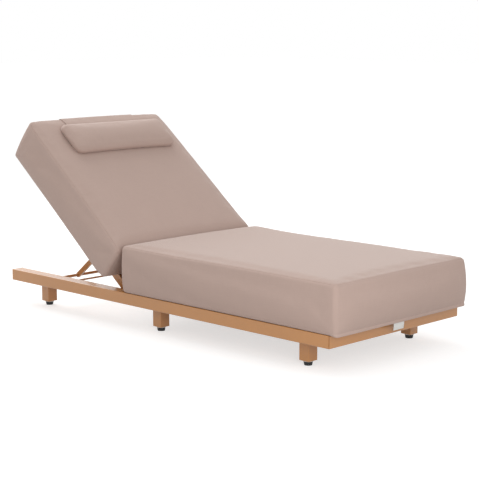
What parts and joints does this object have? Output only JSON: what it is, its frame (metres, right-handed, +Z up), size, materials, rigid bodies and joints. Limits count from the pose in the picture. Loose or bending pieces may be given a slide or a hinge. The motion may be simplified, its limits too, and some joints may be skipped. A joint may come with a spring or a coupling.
{
  "type": "sun lounger",
  "caption": "Low outdoor lounger on short square legs, with a slatted back that tilts on a notched rack, thick block cushions and a head pillow with a weighted flap.",
  "frame": {"origin": "on the floor under the middle of the rails", "axes": "+X towards the foot end, +Y towards the user's left, +Z up"},
  "size_m": [2.012, 0.8494, 0.881],
  "materials": {
    "frame_coating": "satin",
    "glide_black": "matte",
    "collar_white": "matte",
    "bush_nylon": "matte",
    "screw_steel": "satin",
    "cushion_fabric": "matte"
  },
  "bodies": {
    "frame": {"side_rail_right": "frame_coating", "side_rail_left": "frame_coating", "foot_rail": "frame_coating", "rail_end_caps": "frame_coating", "ledge_right": "frame_coating", "ledge_left": "frame_coating", "cross_beam_head": "frame_coating", "cross_beam_hip": "frame_coating", "cross_beam_knee": "frame_coating", "cross_beam_foot": "frame_coating", "seat_slats": "frame_coating", "leg_head_right": "frame_coating", "leg_head_left": "frame_coating", "leg_middle_right": "frame_coating", "leg_middle_left": "frame_coating", "leg_foot_right": "frame_coating", "leg_foot_left": "frame_coating", "glide_collars": "collar_white", "glide_pads": "glide_black", "leg_screws": "screw_steel", "rack_right": "frame_coating", "rack_left": "frame_coating", "rack_screws": "screw_steel", "tie_rod": "frame_coating", "hinge_bracket_right": "frame_coating", "hinge_bracket_left": "frame_coating", "hinge_pin_right": "screw_steel", "hinge_pin_left": "screw_steel", "bracket_screws": "screw_steel", "seat_cushion": "cushion_fabric"},
    "backrest": {"back_side_tube_right": "frame_coating", "back_side_tube_left": "frame_coating", "back_low_tube": "frame_coating", "back_middle_tube": "frame_coating", "back_head_tube": "frame_coating", "back_slats": "frame_coating", "hinge_bushes": "bush_nylon", "strut_pivot_rod": "frame_coating", "pivot_collars": "frame_coating"},
    "strut": {"strut_leg_right": "frame_coating", "strut_leg_left": "frame_coating", "strut_foot_rod": "frame_coating", "foot_sleeves": "bush_nylon"},
    "loose_back": {"back_cushion": "cushion_fabric"},
    "pillow": {"head_pillow": "cushion_fabric", "pillow_flap": "cushion_fabric", "flap_weight": "screw_steel"}
  },
  "joints": [
    {"name": "back_tilt", "type": "hinge", "parent": "frame", "child": "backrest", "pos_m": [-0.276, 0, 0.135], "axis": [0, 1, 0], "range_deg": [-38.7, 11.3]},
    {"name": "strut_swing", "type": "hinge", "parent": "backrest", "child": "strut", "pos_m": [-0.51871, 0, 0.32945], "axis": [0, 1, 0], "range_deg": [-22.7, 77.5]},
    {"name": "cushion_slide", "type": "slide", "parent": "backrest", "child": "loose_back", "axis": [-0.7804, 0, 0.6252], "range_m": [-0.146, 0.043]},
    {"name": "pillow_lift", "type": "slide", "parent": "loose_back", "child": "pillow", "axis": [-0.7804, 0, 0.6252], "range_m": [0, 0.2]}
  ],
  "couplings": [
    {"joint": "strut_swing", "follows": "back_tilt", "ratio": -2},
    {"joint": "cushion_slide", "follows": "back_tilt", "m_per_rad": 0.215}
  ]
}
